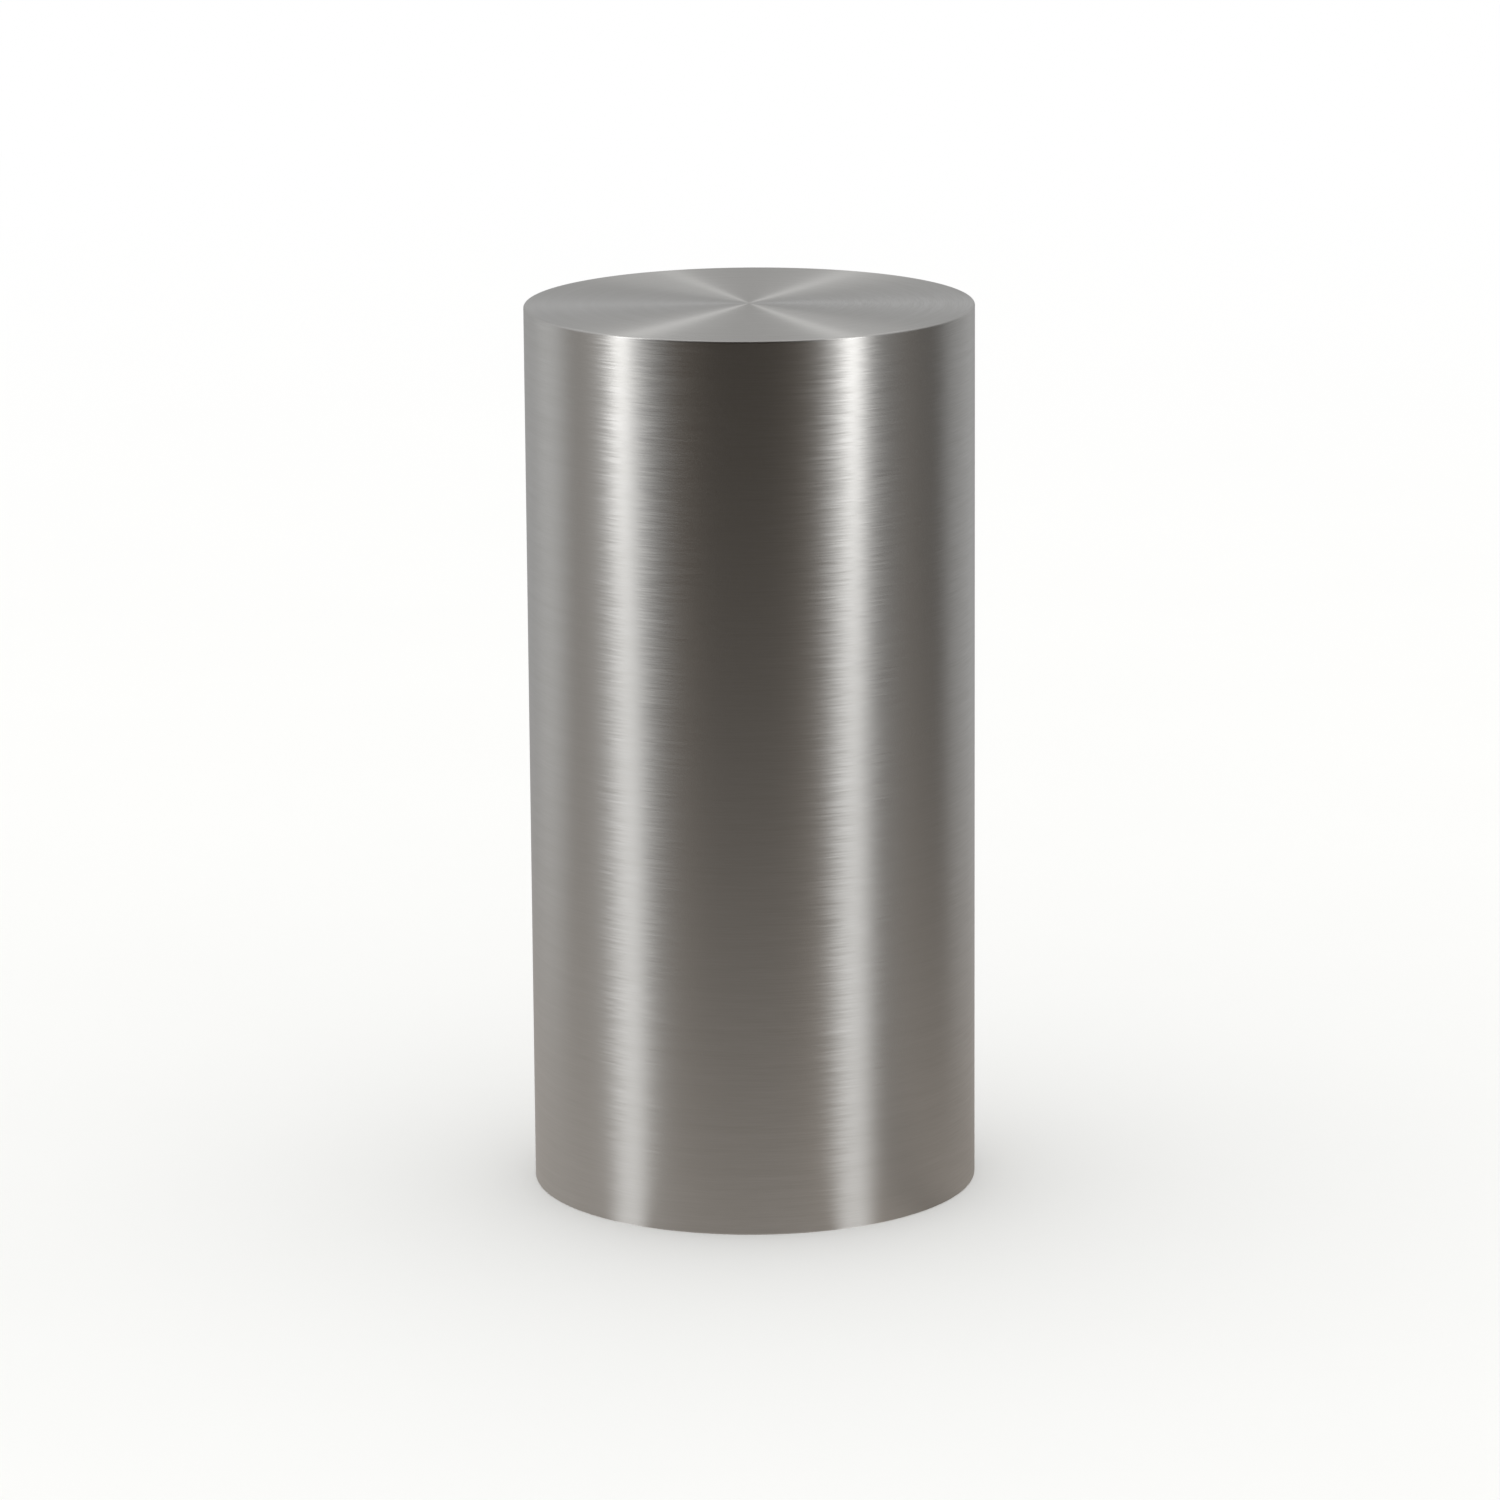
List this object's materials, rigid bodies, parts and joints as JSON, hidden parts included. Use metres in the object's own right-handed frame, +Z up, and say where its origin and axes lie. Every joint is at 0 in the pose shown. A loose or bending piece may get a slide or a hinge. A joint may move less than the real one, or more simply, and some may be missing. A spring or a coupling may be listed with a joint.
{
  "type": "steel safety bollard",
  "caption": "Cylindrical flat-topped bollard: brushed stainless lift-off sleeve over a ribbed galvanised core tube on a round bolt-down base plate.",
  "frame": {"origin": "centre of the foot, on the floor", "axes": "+Z up along the bollard's axis; the two clamp screws are on the X axis, and -Y is the front"},
  "size_m": [0.3, 0.3, 0.6],
  "materials": {
    "brushed_stainless": "stainless steel, brushed round the girth and in circles on the top, satin",
    "mill_stainless": "stainless steel, turned or as drawn, plain",
    "galvanised_steel": "structural steel, hot-dip galvanised with spangle, matt grey",
    "zinc_plated_steel": "steel, bright zinc plated",
    "black_rubber": "EPDM rubber, moulded, matt black",
    "natural_nylon": "nylon, natural off-white, machined"
  },
  "bodies": {
    "core": {"base_gasket": "black_rubber", "base_plate": "galvanised_steel", "core_tube": "galvanised_steel", "core_top_plate": "galvanised_steel", "top_pad": "black_rubber", "top_pad_screw": "zinc_plated_steel", "clamp_band": "galvanised_steel", "rib_1": "galvanised_steel", "rib_2": "galvanised_steel", "rib_3": "galvanised_steel", "rib_4": "galvanised_steel", "foot_spacer_1": "natural_nylon", "foot_spacer_2": "natural_nylon", "foot_spacer_3": "natural_nylon", "foot_spacer_4": "natural_nylon", "spacer_screw_1": "zinc_plated_steel", "spacer_screw_2": "zinc_plated_steel", "spacer_screw_3": "zinc_plated_steel", "spacer_screw_4": "zinc_plated_steel"},
    "sleeve": {"sleeve_shell": "brushed_stainless", "sleeve_top_disc": "brushed_stainless", "socket_ring": "mill_stainless", "socket_liner": "natural_nylon", "boss_left": "mill_stainless", "boss_right": "mill_stainless"},
    "left_screw": {"clamp_screw_left": "mill_stainless"},
    "right_screw": {"clamp_screw_right": "mill_stainless"}
  },
  "joints": [
    {"name": "sleeve_lift", "type": "slide", "parent": "core", "child": "sleeve", "axis": [0, 0, 1], "range_m": [0, 0.6]},
    {"name": "left_screw_out", "type": "slide", "parent": "sleeve", "child": "left_screw", "axis": [-1, 0, 0], "range_m": [0, 0.01]},
    {"name": "right_screw_out", "type": "slide", "parent": "sleeve", "child": "right_screw", "axis": [1, 0, 0], "range_m": [0, 0.01]}
  ]
}
